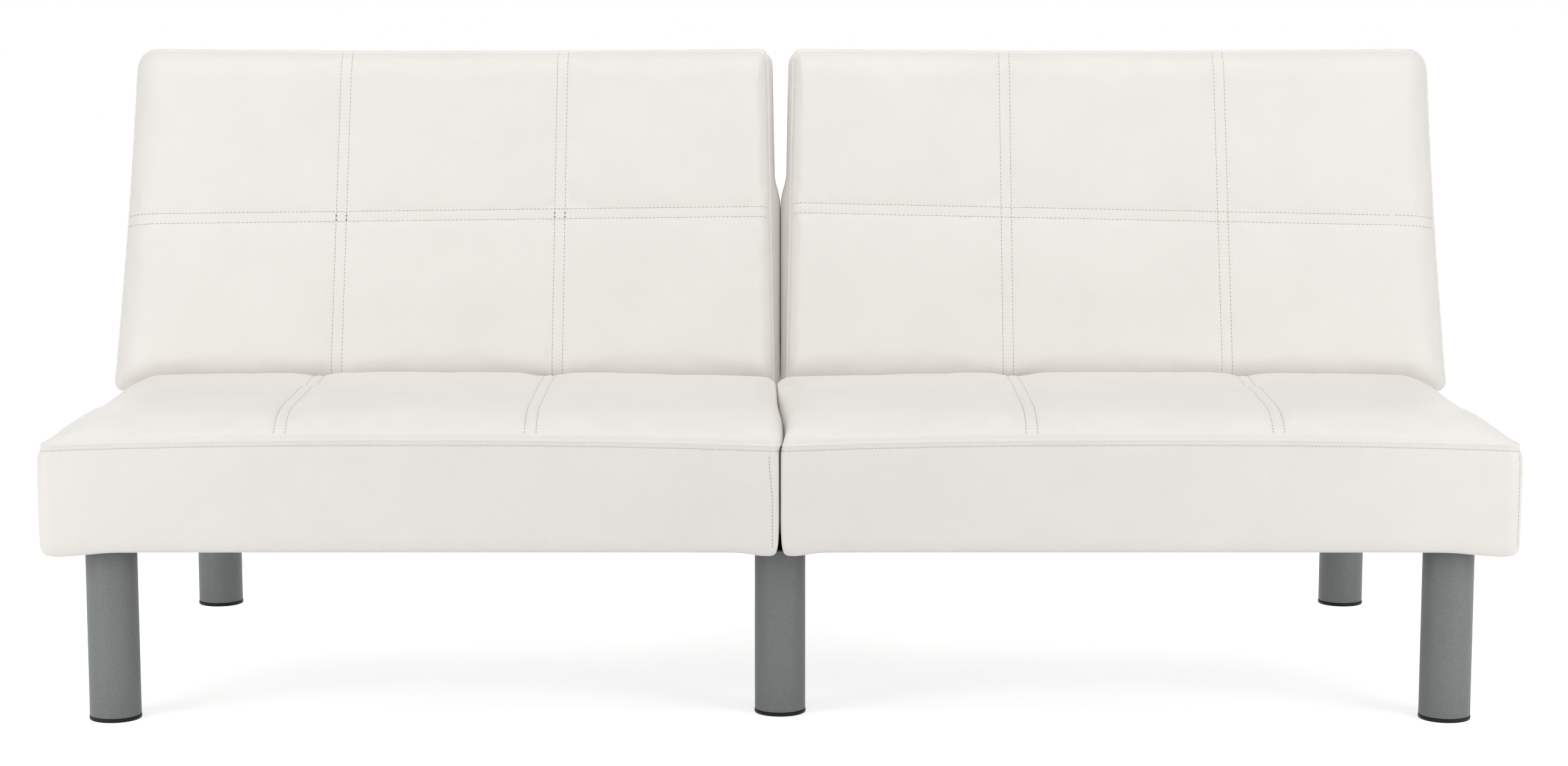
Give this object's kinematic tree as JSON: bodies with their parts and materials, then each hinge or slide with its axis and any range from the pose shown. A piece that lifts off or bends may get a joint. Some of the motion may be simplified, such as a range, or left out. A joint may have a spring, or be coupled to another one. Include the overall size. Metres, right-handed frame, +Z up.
{
  "type": "click clack sofa bed",
  "caption": "Armless split-back click clack sofa bed with quilted faux leather seats and backs on steel tube legs; each back reclines on ratchet hinges to lie flat.",
  "frame": {"origin": "on the floor, at the middle of the sofa's outline seen from above", "axes": "+Z up; the seats face -Y; +X runs along the sofa, to the right as one looks at its front"},
  "size_m": [1.8112, 0.8634, 0.8178],
  "materials": {
    "leather": "satin",
    "foam": "matte",
    "timber": "matte",
    "plywood": "matte",
    "dust_cloth": "matte",
    "beam_paint": "satin",
    "leg_paint": "satin",
    "foot_plastic": "matte",
    "zinc_steel": "satin"
  },
  "bodies": {
    "base": {"beam_left": "beam_paint", "leg_front_left": "leg_paint", "foot_cap_front_left": "foot_plastic", "leg_rear_left": "leg_paint", "foot_cap_rear_left": "foot_plastic", "beam_middle": "beam_paint", "leg_front_middle": "leg_paint", "foot_cap_front_middle": "foot_plastic", "leg_rear_middle": "leg_paint", "foot_cap_rear_middle": "foot_plastic", "beam_right": "beam_paint", "leg_front_right": "leg_paint", "foot_cap_front_right": "foot_plastic", "leg_rear_right": "leg_paint", "foot_cap_rear_right": "foot_plastic", "rear_cross_rail": "beam_paint", "seat_cover_left": "leather", "seat_foam_left": "foam", "seat_deck_left": "plywood", "seat_front_rail_left": "timber", "seat_rear_rail_left": "timber", "seat_inner_rail_left": "timber", "seat_outer_rail_left": "timber", "dust_cover_left": "dust_cloth", "hinge_plate_left_inner": "zinc_steel", "hinge_plate_left_outer": "zinc_steel", "seat_cover_right": "leather", "seat_foam_right": "foam", "seat_deck_right": "plywood", "seat_front_rail_right": "timber", "seat_rear_rail_right": "timber", "seat_inner_rail_right": "timber", "seat_outer_rail_right": "timber", "dust_cover_right": "dust_cloth", "hinge_plate_right_inner": "zinc_steel", "hinge_plate_right_outer": "zinc_steel"},
    "back_left": {"back_cover_left": "leather", "back_foam_left": "foam", "back_board_left": "plywood", "back_top_rail_left": "timber", "back_bottom_rail_left": "timber", "back_inner_rail_left": "timber", "back_outer_rail_left": "timber", "back_rear_panel_left": "leather", "hinge_arm_left_inner": "zinc_steel", "hinge_arm_left_outer": "zinc_steel"},
    "back_right": {"back_cover_right": "leather", "back_foam_right": "foam", "back_board_right": "plywood", "back_top_rail_right": "timber", "back_bottom_rail_right": "timber", "back_inner_rail_right": "timber", "back_outer_rail_right": "timber", "back_rear_panel_right": "leather", "hinge_arm_right_inner": "zinc_steel", "hinge_arm_right_outer": "zinc_steel"},
    "pawl_left_inner": {"hinge_pawl_left_inner": "zinc_steel"},
    "pawl_left_outer": {"hinge_pawl_left_outer": "zinc_steel"},
    "pawl_right_inner": {"hinge_pawl_right_inner": "zinc_steel"},
    "pawl_right_outer": {"hinge_pawl_right_outer": "zinc_steel"}
  },
  "joints": [
    {"name": "back_left_recline", "type": "hinge", "parent": "base", "child": "back_left", "pos_m": [-0.45, 0.03035, 0.345], "axis": [-1, 0, 0], "range_deg": [-12, 72]},
    {"name": "back_right_recline", "type": "hinge", "parent": "base", "child": "back_right", "pos_m": [0.45, 0.03035, 0.345], "axis": [-1, 0, 0], "range_deg": [-12, 72]},
    {"name": "pawl_left_inner_turn", "type": "hinge", "parent": "base", "child": "pawl_left_inner", "pos_m": [-0.0627, 0.04112, 0.28394], "axis": [1, 0, 0], "range_deg": [0, 12]},
    {"name": "pawl_left_outer_turn", "type": "hinge", "parent": "base", "child": "pawl_left_outer", "pos_m": [-0.8487, 0.04112, 0.28394], "axis": [1, 0, 0], "range_deg": [0, 12]},
    {"name": "pawl_right_inner_turn", "type": "hinge", "parent": "base", "child": "pawl_right_inner", "pos_m": [0.0627, 0.04112, 0.28394], "axis": [1, 0, 0], "range_deg": [0, 12]},
    {"name": "pawl_right_outer_turn", "type": "hinge", "parent": "base", "child": "pawl_right_outer", "pos_m": [0.8487, 0.04112, 0.28394], "axis": [1, 0, 0], "range_deg": [0, 12]}
  ]
}
